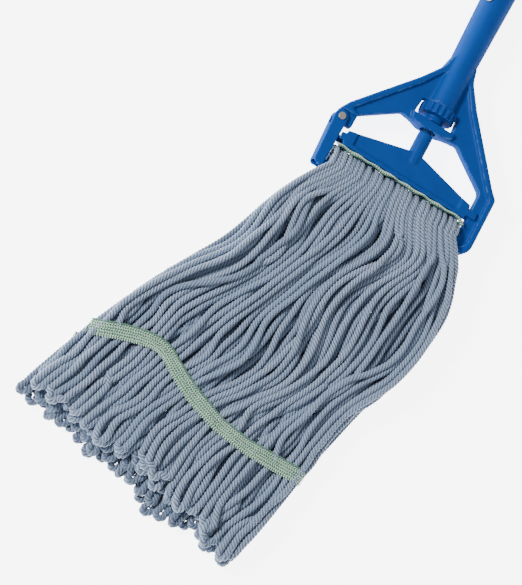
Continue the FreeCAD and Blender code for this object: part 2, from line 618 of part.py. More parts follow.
doc.recompute()
bodies = [frame, gate, pin, jaw, screw, wheel, pole, rivet, cap]
pieces = bodies + soft_pieces
faults = [thing.Name for thing in doc.Objects if {"Invalid", "Error"} & set(thing.State)]
faults += [piece.Label for piece in pieces if piece.Shape.isNull() or not piece.Shape.isValid()]
if faults:
    raise RuntimeError("these did not build: " + ", ".join(faults))

# The origin is under the middle of the whole mop, on the surface that it lies on.
whole = FreeCAD.BoundBox()
for piece in pieces:
    whole.add(piece.Shape.BoundBox)
origin = Vector(-whole.Center.x, -whole.Center.y, value(DECK))
os.makedirs("parts", exist_ok=True)
for piece in pieces:
    piece.Placement = Placement(origin, Rotation())
doc.recompute()
for piece in pieces:
    piece.Shape.exportStep("parts/%s.step" % piece.Label)
    box = piece.Shape.BoundBox
    print("%-16s solids %d volume %9.0f  X %7.1f %7.1f  Y %7.1f %7.1f  Z %6.1f %6.1f" % (
        piece.Label, len(piece.Shape.Solids), piece.Shape.Volume,
        box.XMin, box.XMax, box.YMin, box.YMax, box.ZMin, box.ZMax))
print("origin moved by", origin)
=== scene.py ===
import json
import math

import bmesh
import bpy
import numpy as np
from mathutils import Matrix, Vector


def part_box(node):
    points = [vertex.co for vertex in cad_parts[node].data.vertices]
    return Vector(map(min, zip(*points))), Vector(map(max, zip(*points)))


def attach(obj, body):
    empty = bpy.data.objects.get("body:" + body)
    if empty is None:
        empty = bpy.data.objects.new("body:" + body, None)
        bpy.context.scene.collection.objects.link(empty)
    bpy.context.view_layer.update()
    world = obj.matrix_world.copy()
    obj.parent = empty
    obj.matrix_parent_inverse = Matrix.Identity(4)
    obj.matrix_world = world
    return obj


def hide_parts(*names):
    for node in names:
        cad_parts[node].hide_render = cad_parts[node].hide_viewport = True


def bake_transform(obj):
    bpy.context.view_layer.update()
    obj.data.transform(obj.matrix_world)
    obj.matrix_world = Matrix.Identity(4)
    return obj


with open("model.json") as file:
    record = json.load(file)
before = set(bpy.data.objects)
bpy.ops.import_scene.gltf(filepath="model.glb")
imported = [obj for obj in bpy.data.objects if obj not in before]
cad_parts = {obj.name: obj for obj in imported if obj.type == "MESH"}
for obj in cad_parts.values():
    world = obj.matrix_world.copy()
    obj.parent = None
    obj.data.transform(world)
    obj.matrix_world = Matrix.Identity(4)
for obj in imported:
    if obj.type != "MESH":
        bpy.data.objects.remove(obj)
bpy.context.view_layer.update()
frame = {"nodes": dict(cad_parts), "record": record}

# The mop lies flat on a pale floor. It is seen from above its tail, a little to the gate's side, so
# that the pole leaves the picture at the top right and the yarn sweeps down to the left.
MM = 0.001
pole_low, pole_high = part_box("pole_tube")
axis_x = (pole_low.x + pole_high.x) / 2
deck = (pole_low.z + pole_high.z) / 2
jaw_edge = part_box("jaw_bar")[0].y
VIEW_FROM = Vector((-0.1833, -0.2189, 1.0)).normalized()
VIEW_RANGE = 1.7
VIEW_ROLL = 0.4955
FOCAL_IN_WIDTHS = 1.0022 * 1700 / 522
aim = Vector((axis_x - 73.77 * MM, jaw_edge - 174.14 * MM, deck))
side = (-VIEW_FROM).cross(Vector((0, 1, 0))).normalized()
rise = side.cross(-VIEW_FROM)
picture_right = side * math.cos(VIEW_ROLL) + rise * math.sin(VIEW_ROLL)
picture_up = rise * math.cos(VIEW_ROLL) - side * math.sin(VIEW_ROLL)
camera_data = bpy.data.cameras.new("camera")
camera_data.sensor_fit = "HORIZONTAL"
camera_data.sensor_width = 36
camera_data.lens = 36 * FOCAL_IN_WIDTHS
camera_data.clip_end = 20
camera = bpy.data.objects.new("camera", camera_data)
turn = Matrix((picture_right, picture_up, VIEW_FROM)).transposed().to_4x4()
camera.matrix_world = Matrix.Translation(aim + VIEW_FROM * VIEW_RANGE) @ turn
bpy.context.scene.collection.objects.link(camera)
bpy.context.scene.camera = camera


# The floor is a matt white studio sweep. A large soft light stands at the picture's upper left, a
# weaker one fills from the right, and the white room lights the rest.
def new_material(name, colour, roughness):
    """A material whose shader has plain starting values, with its tree, its links and its shader."""
    material = bpy.data.materials.new(name)
    material.use_nodes = True
    tree = material.node_tree
    shader = tree.nodes["Principled BSDF"]
    shader.inputs["Base Color"].default_value = (*colour, 1)
    shader.inputs["Roughness"].default_value = roughness
    return material, tree, shader


floor_mesh = bpy.data.meshes.new("floor")
floor_mesh.from_pydata([(-20, -20, 0), (20, -20, 0), (20, 20, 0), (-20, 20, 0)], [], [(0, 1, 2, 3)])
floor = bpy.data.objects.new("floor", floor_mesh)
paper, tree, shader = new_material("white_paper", (0.95, 0.95, 0.95), 0.9)
shader.inputs["Emission Color"].default_value = (1, 1, 1, 1)
shader.inputs["Emission Strength"].default_value = 6.0
floor.data.materials.append(paper)
bpy.context.scene.collection.objects.link(floor)
floor.visible_glossy = False


def soft_light(name, place, size, power, target):
    """A round area light that faces its target."""
    data = bpy.data.lights.new(name, "AREA")
    data.shape = "DISK"
    data.size = size
    data.energy = power
    light = bpy.data.objects.new(name, data)
    light.location = place
    light.rotation_euler = (Vector(target) - Vector(place)).to_track_quat("-Z", "Y").to_euler()
    bpy.context.scene.collection.objects.link(light)


soft_light("key", aim + 2.2 * (VIEW_FROM * 0.9 - picture_right * 0.55 + picture_up * 0.5), 0.55, 84, aim)
soft_light("fill", aim + 2.4 * (VIEW_FROM * 0.8 + picture_right * 0.9 - picture_up * 0.3), 1.8, 9, aim)
world = bpy.data.worlds.new("white_room")
bpy.context.scene.world = world
world.use_nodes = True
world.node_tree.nodes["Background"].inputs["Color"].default_value = (1, 1, 1, 1)
world.node_tree.nodes["Background"].inputs["Strength"].default_value = 0.42


# The yarn is blended cotton, four plies twisted together. Each length runs from a loop at the tail of the
# upper half, up over the crossbar, and down to a loop at the tail of the lower half. The lengths lie in
# loose waves and groups, several deep, and fan out towards the gate's side. Its sizes are in millimetres.
YARN_RADIUS = 3.5
TWIST_PITCH = 15.0
ROW_STEP = 8.0
FOLD_LEVEL = -25.0
FOLD_FRONT = -5.6
BAR_CLEAR = 9.4
BAR_OUTSIDE = 15.8
LEFT_EDGE = ((-78, -25), (-99, -54), (-114, -92), (-139, -156), (-172, -210), (-208, -288), (-243, -386))
RIGHT_EDGE = ((74, -25), (98, -57), (109, -92), (99, -166), (81, -215), (50, -324), (27, -430))
UPPER_PAIRS = 34
LOWER_PAIRS = 39
UPPER_END = 362.0
LOWER_END = 375.0
BAND_LENGTH = 290.0
TAIL_DRIFT = 40.0
LOWER_BAND_SHIFT = 24.0
GROUP_SWAY = 9.0
BUNCH_SWAY = 2.2
UNDER_SWAY = 1.8
LENGTH_SWAY = 3.0
TAIL_SWAY = 5.0
KINK_SWAY = 4.5
CROSSING_LENGTHS = 9
HALF_PAIR_SHARE = 0.0135
UPPER_LOWEST = 0.66
LOWER_HIGHEST = 0.56
LAYER_DEPTH = 6.6
FOLD_SQUEEZE = 0.13
BAND_SQUEEZE = 0.12
TAIL_SWELL = 0.12
PULL_ACROSS = 0.08
PULL_DOWN = 0.07
PUSH_APART = 0.42
SMOOTHING = 0.22
SETTLE_ROUNDS = 110
floor_height = -deck / MM


def edge_line(corners, lengths):
    """Points of a smoothed edge of the fan at the given lengths from the fold."""
    corners = np.array(corners, float)
    steps = np.hypot(*np.diff(corners, axis=0).T)
    reached = np.concatenate([[0], np.cumsum(steps)])
    last = (corners[-1] - corners[-2]) / steps[-1]
    dense = np.arange(0, lengths[-1] + 60, 2.0)
    line = np.stack([np.interp(dense, reached, corners[:, axis]) for axis in (0, 1)], 1)
    line += np.clip(dense - reached[-1], 0, None)[:, None] * last
    for _ in range(3):
        padded = np.concatenate([2 * line[:1] - line[1:11][::-1], line, 2 * line[-1:] - line[-11:-1][::-1]])
        line = np.stack([np.convolve(padded[:, a], np.ones(21) / 21, "valid") for a in (0, 1)], 1)
    return np.stack([np.interp(lengths, dense, line[:, axis]) for axis in (0, 1)], 1)


lengths = np.arange(0, LOWER_END + TAIL_DRIFT + 40, ROW_STEP)
left_line = edge_line(LEFT_EDGE, lengths)
right_line = edge_line(RIGHT_EDGE, lengths)
row_width = np.hypot(*(right_line - left_line).T)
row_way = (right_line - left_line) / row_width[:, None]
rng = np.random.default_rng(11)


def waves(across, along, amount, across_range, along_range, count):
    """A smooth random field over the fan: many long waves, each with its own place and slant."""
    field = np.zeros(np.broadcast(across, along).shape)
    for _ in range(count):
        f = rng.uniform(*across_range) * rng.choice((-1, 1))
        g = rng.uniform(*along_range)
        field += amount / count ** 0.5 * np.sin(2 * np.pi * (f * across + g * along) + rng.uniform(0, 7))
    return field


def ramp(value, low, high):
    """0 below low, 1 above high, and a smooth rise between them."""
    share = np.clip((value - low) / (high - low), 0, 1)
    return share * share * (3 - 2 * share)


def band_bend(share):
    """How far the upper tape strays towards the loops at a share of the way across the fan."""
    fine = np.linspace(0, 1, 101)
    bend = np.interp(fine, (0, 0.10, 0.18, 0.26, 0.32, 0.44, 0.6, 0.75, 1),
                     (6, -8, -16, -18, -9, 5, 18, 22, 18))
    return np.interp(share, fine, np.convolve(np.pad(bend, 4, "edge"), np.ones(9) / 9, "valid"))


def pairs_of(count, low, high):
    """Each length's place across the fan, and its place in the depth of the pile from 0 to 1."""
    centre = (np.arange(count) + 0.5) / count
    depth = low + (high - low) * ((np.arange(count) * 0.618 + rng.uniform()) % 1)
    place = np.repeat(centre, 2) + np.tile((-HALF_PAIR_SHARE, HALF_PAIR_SHARE), count)
    depth = np.repeat(depth, 2) + rng.normal(0, 0.05, 2 * count)
    return np.clip(place, 0.011, 0.989), np.clip(depth, low, high)


upper_place, upper_depth = pairs_of(UPPER_PAIRS, UPPER_LOWEST, 1.0)
lower_place, lower_depth = pairs_of(LOWER_PAIRS, 0.0, LOWER_HIGHEST)
place = np.concatenate([upper_place, lower_place])
depth = np.concatenate([upper_depth, lower_depth])
is_upper = np.arange(len(place)) < len(upper_place)
down = lengths[:, None] / 400
wander = waves(place[None, :], down, GROUP_SWAY, (0.3, 2.2), (1.0, 2.8), 5)
wander += waves(place[None, :], down, BUNCH_SWAY, (5, 9), (0.6, 2.2), 6)
under_wander = waves(place[None, :], down, UNDER_SWAY, (0.5, 3), (1.0, 2.4), 5)
wander = np.where(depth < 0.76, 0.3 * wander + under_wander, wander) * np.where(depth < 0.2, 0.3, 1.0)
band_length = BAND_LENGTH + band_bend(place) * is_upper + LOWER_BAND_SHIFT * ~is_upper
own = np.stack([waves(0.0, down[:, 0], LENGTH_SWAY, (0, 0.1), (1.5, 5.5), 3) for _ in place], 1)
own *= np.where(depth < 0.6, 0.3, 1.0)
tail_wander = np.stack([waves(0.0, down[:, 0], TAIL_SWAY, (0, 0.1), (4, 8), 3) for _ in place[::2]], 1)
own += np.repeat(tail_wander, 2, axis=1) * ramp(lengths[:, None], band_length + 15, band_length + 60)
crossing = np.zeros_like(wander)
for strand in rng.choice(np.flatnonzero(is_upper & (depth > 0.9)), CROSSING_LENGTHS, replace=False):
    middle = rng.uniform(0.2, 0.62)
    crossing[:, strand] += rng.choice((-1, 1)) * rng.uniform(9, 17) * (
        ramp(down[:, 0], middle - 0.09, middle + 0.09) - 0.35)
    depth[strand] = 1.04
near_band = np.exp(-((lengths[:, None] - band_length) / 15) ** 2)
loose = ramp(lengths[:, None], 8, 60) * (1 - 0.8 * near_band)
squeeze = 1 - FOLD_SQUEEZE * (1 - ramp(lengths[:, None], 10, 80)) - BAND_SQUEEZE * near_band
squeeze = squeeze + TAIL_SWELL * ramp(lengths[:, None], band_length + 20, band_length + 60)
radius = YARN_RADIUS * squeeze
kinks = np.stack([waves(0.0, down[:, 0], KINK_SWAY, (0, 0.1), (5, 9), 3) for _ in place], 1)
own += kinks * np.exp(-((lengths[:, None] - band_length + 34) / 20) ** 2)
width = row_width[:, None]
goal_across = np.clip(place * width + (wander + own + crossing) * loose, radius, width - radius)
top = np.interp(lengths, (0, 30, 110, 290, 300, 420), (19, 20, 15.0, 3.5, 3.5, 1.0))[:, None]
top = top - 2.5 * near_band
bar = (1 - ramp(lengths, 12, 45))[:, None]
height_noise = waves(place[None, :], down, 1.6, (2, 7), (1, 4), 5) * loose
goal_height = floor_height + radius + depth * (top - floor_height - 2 * radius) + height_noise
over_bar = BAR_CLEAR + (depth - UPPER_LOWEST) / (1 - UPPER_LOWEST) * LAYER_DEPTH
under_bar = -BAR_CLEAR - (LOWER_HIGHEST - depth) / LOWER_HIGHEST * LAYER_DEPTH
bar_goal = np.where(is_upper, over_bar, under_bar)
goal_height = goal_height * (1 - bar) + bar_goal * bar

# The rows of lengths are settled: each is drawn to its goal, pushed off its neighbours and smoothed.
across, height = goal_across.copy(), goal_height.copy()
travel = np.gradient(left_line, axis=0)[:, None] * (1 - place[None, :, None])
travel = travel + np.gradient(right_line, axis=0)[:, None] * place[None, :, None]
travel /= np.linalg.norm(travel, axis=2, keepdims=True)
slant = np.abs(travel[..., 0] * row_way[:, None, 1] - travel[..., 1] * row_way[:, None, 0])
pair_slant = (slant[:, :, None] + slant[:, None, :]) / 2
own_side = np.where(is_upper, 1.0, -1.0)
for _ in range(SETTLE_ROUNDS):
    across += PULL_ACROSS * (goal_across - across)
    height += PULL_DOWN * (goal_height - height)
    apart_x = (across[:, :, None] - across[:, None, :]) * pair_slant
    apart_z = height[:, :, None] - height[:, None, :]
    apart = np.sqrt(apart_x ** 2 + apart_z ** 2) + 1e-6
    push = PUSH_APART * np.clip(2 * radius[:, :, None] - apart, 0, None) / apart
    across += (apart_x * push).sum(2) / slant
    height += (apart_z * push).sum(2)
    for rows, goal in ((across, place * width), (height, 0)):
        free = rows - goal
        free[1:-1] += SMOOTHING * ((free[:-2] + free[2:]) / 2 - free[1:-1])
        rows[:] = free + goal
    across = np.clip(across, radius * 0.6, width - radius * 0.6)
    height = np.clip(height, floor_height + radius * 1.05, None)
    held = own_side * np.clip(own_side * height, BAR_CLEAR, BAR_OUTSIDE)
    height += (held - height) * ramp(bar, 0.0, 0.6)

plan = left_line[:, None] + row_way[:, None] * across[..., None]
strand_rows = np.concatenate([plan, height[..., None]], 2)


def to_model(points):
    """Points beside the jaw's edge, in mm, as places in the model's frame."""
    return (np.asarray(points) * MM) + np.array((axis_x, jaw_edge, deck))


def strand_line(strand, end):
    """The points of one length from the front of the fold to its end, and each point's squeeze."""
    rows = strand_rows[:, strand]
    start = rows[0]
    side_sign = 1.0 if is_upper[strand] else -1.0
    reach = 7.5 + (abs(start[2]) - BAR_CLEAR) / 6.4 * (FOLD_FRONT - FOLD_LEVEL - 7.5)
    angles = np.radians((90, 75, 60, 45, 30, 15))
    thinned = squeeze[:, strand]
    fold = np.stack([np.full(6, start[0]), FOLD_LEVEL + reach * np.sin(angles),
                     side_sign * abs(start[2]) * np.cos(angles)], 1)
    kept = lengths < end - 2
    last = np.array([np.interp(end, lengths, rows[:, axis]) for axis in range(3)])
    line = np.concatenate([fold, rows[kept], last[None]])
    thin = np.concatenate([np.full(6, thinned[0]), thinned[kept], [np.interp(end, lengths, thinned)]])
    return line, thin


def hairpin(first, second):
    """A loop of yarn between the ends of two lengths, a little fuller than their distance."""
    ahead = (first[-1] - first[-2]) + (second[-1] - second[-2])
    ahead /= np.linalg.norm(ahead)
    middle = (first[-1] + second[-1]) / 2
    apart = second[-1] - first[-1]
    spread = apart / max(np.linalg.norm(apart), 1.0) * 4.1
    droop = rng.uniform(-3.5, 1.5)
    points = [middle - spread + ahead * 3, middle - spread * 0.9 + ahead * 6.5,
              middle + ahead * 9.2 + (0, 0, droop),
              middle + spread * 0.9 + ahead * 6.5, middle + spread + ahead * 3]
    points = np.array(points)
    points[:, 2] = np.maximum(points[:, 2], floor_height + YARN_RADIUS * 1.05)
    return points


def yarn_mesh(name, pairs, offset, ends):
    """A wire mesh of the lengths in some pairs, with each point's squeeze, tone and depth in the pile, the
    depth being used for painted shade on the deeper lengths.
    """
    points, edges, thin, tone, pile_shade_depth = [], [], [], [], []
    for pair in pairs:
        first, second = offset + 2 * pair, offset + 2 * pair + 1
        line_a, thin_a = strand_line(first, ends[pair])
        line_b, thin_b = strand_line(second, ends[pair] + rng.uniform(-3, 3))
        loop = hairpin(line_a, line_b)
        line = np.concatenate([line_a, loop, line_b[::-1]])
        start = len(points)
        points.extend(to_model(line))
        edges.extend((start + i, start + i + 1) for i in range(len(line) - 1))
        thin.extend(np.concatenate([thin_a, np.full(len(loop), thin_a[-1]), thin_b[::-1]]))
        tone.extend([rng.uniform()] * len(line))
        # Each length's depth in the pile, set lower still for the lower half, darkens the deeper lengths as
        # painted shade.
        pile_shade_depth.extend([min(1.0, depth[first] if is_upper[first] else depth[first] * 0.8)] * len(line))
    mesh = bpy.data.meshes.new(name)
    mesh.from_pydata(points, edges, [])
    for key, numbers in (("squeeze", thin), ("tone", tone), ("pile", pile_shade_depth)):
        mesh.attributes.new(key, "FLOAT", "POINT").data.foreach_set("value", np.array(numbers, np.float32))
    return mesh


def add_node(tree, kind, settings=(), **inputs):
    """A node with its properties set, whose inputs, by name or as i and a number, are given."""
    node = tree.nodes.new(kind)
    for key, setting in dict(settings).items():
        setattr(node, key, setting)
    for key, given in inputs.items():
        socket = node.inputs[int(key[1:])] if key[0] == "i" and key[1:].isdigit() else node.inputs[
            key.replace("_", " ")]
        if isinstance(given, bpy.types.NodeSocket):
            tree.links.new(given, socket)
        else:
            socket.default_value = given
    return node


def new_geometry_tree(name, sizes):
    """A Geometry Nodes tree with a geometry in and out, and named inputs for its sizes."""
    tree = bpy.data.node_groups.new(name, "GeometryNodeTree")
    tree.interface.new_socket(name="Geometry", in_out="INPUT", socket_type="NodeSocketGeometry")
    tree.interface.new_socket(name="Geometry", in_out="OUTPUT", socket_type="NodeSocketGeometry")
    for key, kind, value in sizes:
        tree.interface.new_socket(name=key, in_out="INPUT", socket_type=kind).default_value = value
    source = tree.nodes.new("NodeGroupInput")
    return tree, {socket.name: socket for socket in source.outputs}


def finish_geometry_tree(tree, geometry, material):
    """Ends a tree: its copies are made real and given their material."""
    real = add_node(tree, "GeometryNodeRealizeInstances", Geometry=geometry)
    paint = add_node(tree, "GeometryNodeSetMaterial", Geometry=real.outputs[0], Material=material)
    out = tree.nodes.new("NodeGroupOutput")
    tree.links.new(paint.outputs[0], out.inputs[0])


def maths(tree, operation, a, b=0.0):
    return add_node(tree, "ShaderNodeMath", {"operation": operation}, i0=a, i1=b).outputs[0]


def grown(name, mesh, tree, values):
    """The plain mesh that a Geometry Nodes tree makes from a mesh, as an object of the scene."""
    thing = bpy.data.objects.new(name, mesh)
    bpy.context.scene.collection.objects.link(thing)
    modifier = thing.modifiers.new("grow", "NODES")
    modifier.node_group = tree
    for item in tree.interface.items_tree:
        if item.in_out == "INPUT" and item.name in values:
            modifier[item.identifier] = values[item.name]
    ready = thing.evaluated_get(bpy.context.evaluated_depsgraph_get())
    plain = bpy.data.meshes.new_from_object(ready)
    thing.modifiers.remove(modifier)
    thing.data = plain
    plain.name = name
    plain.shade_smooth()
    return thing


yarn_tree, yarn_in = new_geometry_tree("four_ply_yarn", (
    ("Radius", "NodeSocketFloat", 0.003), ("Pitch", "NodeSocketFloat", 0.014),
    ("Ply Depth", "NodeSocketFloat", 0.16), ("Step", "NodeSocketFloat", 0.0016),
    ("Material", "NodeSocketMaterial", None)))
wire = add_node(yarn_tree, "GeometryNodeMeshToCurve", Mesh=yarn_in["Geometry"])
smooth_wire = add_node(yarn_tree, "GeometryNodeCurveSplineType", {"spline_type": "CATMULL_ROM"},
                       Curve=wire.outputs[0])
stepped = add_node(yarn_tree, "GeometryNodeResampleCurve", {"mode": "LENGTH"},
                   Curve=smooth_wire.outputs[0], Length=yarn_in["Step"])
reached = add_node(yarn_tree, "GeometryNodeSplineParameter")
turns = maths(yarn_tree, "DIVIDE", reached.outputs["Length"], yarn_in["Pitch"])
twisted = add_node(yarn_tree, "GeometryNodeSetCurveTilt", Curve=stepped.outputs[0],
                   Tilt=maths(yarn_tree, "MULTIPLY", turns, -2 * math.pi))
thinness = add_node(yarn_tree, "GeometryNodeInputNamedAttribute", {"data_type": "FLOAT"}, Name="squeeze")
ring = add_node(yarn_tree, "GeometryNodeCurvePrimitiveCircle", {"mode": "RADIUS"}, Resolution=16,
                Radius=yarn_in["Radius"])
round_ring = add_node(yarn_tree, "GeometryNodeSplineParameter")
lobes = maths(yarn_tree, "COSINE", maths(yarn_tree, "MULTIPLY", round_ring.outputs["Factor"], 8 * math.pi))
crest = maths(yarn_tree, "MULTIPLY", maths(yarn_tree, "ADD", lobes, 1.0), 0.5)
crested = add_node(yarn_tree, "GeometryNodeStoreNamedAttribute", {"data_type": "FLOAT", "domain": "POINT"},
                   Geometry=ring.outputs[0], Name="crest")
yarn_tree.links.new(crest, crested.inputs["Value"])
hollow = maths(yarn_tree, "MULTIPLY", maths(yarn_tree, "SUBTRACT", crest, 1.0), yarn_in["Ply Depth"])
where = add_node(yarn_tree, "GeometryNodeInputPosition")
inward = add_node(yarn_tree, "ShaderNodeVectorMath", {"operation": "SCALE"}, i0=where.outputs[0])
yarn_tree.links.new(hollow, inward.inputs["Scale"])
lobed = add_node(yarn_tree, "GeometryNodeSetPosition", Geometry=crested.outputs[0], Offset=inward.outputs[0])
tube = add_node(yarn_tree, "GeometryNodeCurveToMesh", Curve=twisted.outputs[0],
                Profile_Curve=lobed.outputs[0], Scale=thinness.outputs[0], Fill_Caps=True)
finish_geometry_tree(yarn_tree, tube.outputs[0], yarn_in["Material"])


def attribute(tree, name):
    return add_node(tree, "ShaderNodeAttribute", {"attribute_name": name}).outputs["Fac"]


def mixed(tree, share, low, high):
    """A colour between two others, each a colour or another node's output."""
    node = add_node(tree, "ShaderNodeMix", {"data_type": "RGBA"})
    for socket, given in ((node.inputs[0], share), (node.inputs[6], low), (node.inputs[7], high)):
        if isinstance(given, bpy.types.NodeSocket):
            tree.links.new(given, socket)
        elif isinstance(given, tuple):
            socket.default_value = (*given, 1)
        else:
            socket.default_value = given
    return node.outputs[2]


def spread(tree, value, low, high, to_low=0.0, to_high=1.0):
    """A value moved from one range to another and held inside it."""
    node = add_node(tree, "ShaderNodeMapRange", i0=value)
    for index, number in ((1, low), (2, high), (3, to_low), (4, to_high)):
        node.inputs[index].default_value = number
    return node.outputs[0]


def place_of(tree):
    """The place on the object, in its own coordinates."""
    return add_node(tree, "ShaderNodeTexCoord").outputs["Object"]


def noise(tree, scale, detail=2.0, rough=0.5):
    node = add_node(tree, "ShaderNodeTexNoise", Vector=place_of(tree), Scale=scale, Detail=detail,
                    Roughness=rough)
    return node.outputs["Fac"]


def relief(tree, shader, height, strength, distance):
    bump = add_node(tree, "ShaderNodeBump", Height=height, Strength=strength, Distance=distance)
    tree.links.new(bump.outputs[0], shader.inputs["Normal"])


yarn_material, tree, shader = new_material("slate_cotton_yarn", (0.25, 0.33, 0.46), 0.95)
# The valleys between the four plies are painted dark and their crests pale: painted shade in the creases of
# the twist, laid over the real lobed shape.
ply = attribute(tree, "crest")
fibre = noise(tree, 2600, 3, 0.7)
ply_painted_shade = spread(tree, maths(tree, "ADD", ply, maths(tree, "MULTIPLY", fibre, 0.5)), 0.28, 1.12)
cotton = mixed(tree, ply_painted_shade, (0.035, 0.06, 0.115), (0.40, 0.49, 0.65))
cotton = mixed(tree, spread(tree, noise(tree, 900, 2), 0.45, 0.75, 0.0, 0.35), cotton, (0.42, 0.50, 0.62))
cotton = mixed(tree, spread(tree, attribute(tree, "tone"), 0, 1, 0.0, 0.34), cotton, (0.17, 0.25, 0.38))
# Lengths low in the pile are painted darker: painted shade where the lengths above them shade them.
cotton = mixed(tree, spread(tree, attribute(tree, "pile"), 0.5, 0.95, 0.55, 0.0), cotton, (0.045, 0.07, 0.12))
cotton = mixed(tree, spread(tree, noise(tree, 26, 2), 0.35, 0.7, 0.0, 0.22), cotton, (0.15, 0.21, 0.31))
tree.links.new(cotton, shader.inputs["Base Color"])
shader.inputs["Sheen Weight"].default_value = 0.25
shader.inputs["Sheen Roughness"].default_value = 0.5
shader.inputs["Specular IOR Level"].default_value = 0.15
relief(tree, shader, fibre, 0.6, 0.4 * MM)

YARN_PIECES = 4
yarn_values = {"Radius": YARN_RADIUS * MM, "Pitch": TWIST_PITCH * MM, "Ply Depth": 0.25, "Step": 1.6 * MM,
               "Material": yarn_material}


def loop_ends(count, usual):
    """Where each pair of a half ends: ragged, and longer towards the closed leg's side."""
    share = np.arange(count) / count
    return usual + TAIL_DRIFT * share + rng.normal(0, 4, count) + waves(share, 0.0, 6, (1, 4), (0, 0.1), 4)


upper_ends = loop_ends(UPPER_PAIRS, UPPER_END)
lower_ends = loop_ends(LOWER_PAIRS, LOWER_END)
halves = (("upper", UPPER_PAIRS, 0, upper_ends), ("lower", LOWER_PAIRS, 2 * UPPER_PAIRS, lower_ends))
for half, count, offset, ends in halves:
    for number, pairs in enumerate(np.array_split(np.arange(count), YARN_PIECES), start=1):
        name = "yarn_%s_%d" % (half, number)
        piece = grown(name, yarn_mesh(name, pairs, offset, ends), yarn_tree, yarn_values)
        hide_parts("yarn_%s_half" % half, "yarn_crown")
        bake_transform(piece)

# A knitted tape holds each half of the yarn near its tail, sewn right round the half, so that the
# lengths stay side by side. It is mint-green polyester: a mesh of slanting stitches, a dark locking
# thread along the edge towards the head, and a pale scalloped edge towards the loops.
TAPE_WIDTH = 16.5
TAPE_THICKNESS = 0.7
STITCH_GAP = 2.5
SCALLOP_LENGTH = 5.2
SCALLOP_DEPTH = 0.7
CROWN = 0.5
LINE_STEP = 2.2
tape_material, tree, shader = new_material("green_tape_ground", (0.05, 0.16, 0.10), 0.85)
ground = mixed(tree, noise(tree, 700, 3), (0.05, 0.17, 0.11), (0.16, 0.34, 0.22))
tree.links.new(ground, shader.inputs["Base Color"])
relief(tree, shader, noise(tree, 1900, 2), 0.5, 0.3 * MM)
stitch_material, tree, shader = new_material("mint_thread", (0.42, 0.62, 0.48), 0.7)
thread = mixed(tree, attribute(tree, "shade"), (0.02, 0.12, 0.08), (0.60, 0.82, 0.66))
thread = mixed(tree, spread(tree, noise(tree, 420, 2), 0.4, 0.7, 0.0, 0.3), thread, (0.36, 0.56, 0.42))
tree.links.new(thread, shader.inputs["Base Color"])
shader.inputs["Sheen Weight"].default_value = 0.2
relief(tree, shader, noise(tree, 2400, 2), 0.4, 0.2 * MM)

stitch_tree, stitch_in = new_geometry_tree("tape_stitches", (
    ("Thread Width", "NodeSocketFloat", 0.0012), ("Thread Height", "NodeSocketFloat", 0.0010),
    ("Material", "NodeSocketMaterial", None)))
bead = add_node(stitch_tree, "GeometryNodeMeshUVSphere", Segments=8, Rings=5, Radius=0.5)
facing = add_node(stitch_tree, "GeometryNodeInputNamedAttribute", {"data_type": "FLOAT_VECTOR"}, Name="face")
running = add_node(stitch_tree, "GeometryNodeInputNamedAttribute", {"data_type": "FLOAT_VECTOR"}, Name="run")
long = add_node(stitch_tree, "GeometryNodeInputNamedAttribute", {"data_type": "FLOAT"}, Name="long")
turned_bead = add_node(stitch_tree, "FunctionNodeAxesToRotation",
                       {"primary_axis": "Z", "secondary_axis": "X"},
                       Primary_Axis=facing.outputs[0], Secondary_Axis=running.outputs[0])
bead_size = add_node(stitch_tree, "ShaderNodeCombineXYZ", X=long.outputs[0], Y=stitch_in["Thread Width"],
                     Z=stitch_in["Thread Height"])
sewn = add_node(stitch_tree, "GeometryNodeInstanceOnPoints", Points=stitch_in["Geometry"],
                Instance=bead.outputs[0], Rotation=turned_bead.outputs[0], Scale=bead_size.outputs[0])
finish_geometry_tree(stitch_tree, sewn.outputs[0], stitch_in["Material"])


def unit(vectors):
    """The vectors at a length of one."""
    return vectors / np.maximum(np.linalg.norm(vectors, axis=-1, keepdims=True), 1e-9)


def tape_surface(line, face, closed):
    """The tape's lengthwise, crosswise and outward directions along its middle line."""
    if closed:
        run = np.roll(line, -1, 0) - np.roll(line, 1, 0)
    else:
        run = np.gradient(line, axis=0)
    run = unit(run)
    over = unit(np.cross(face, run))
    return run, over, unit(np.cross(run, over))


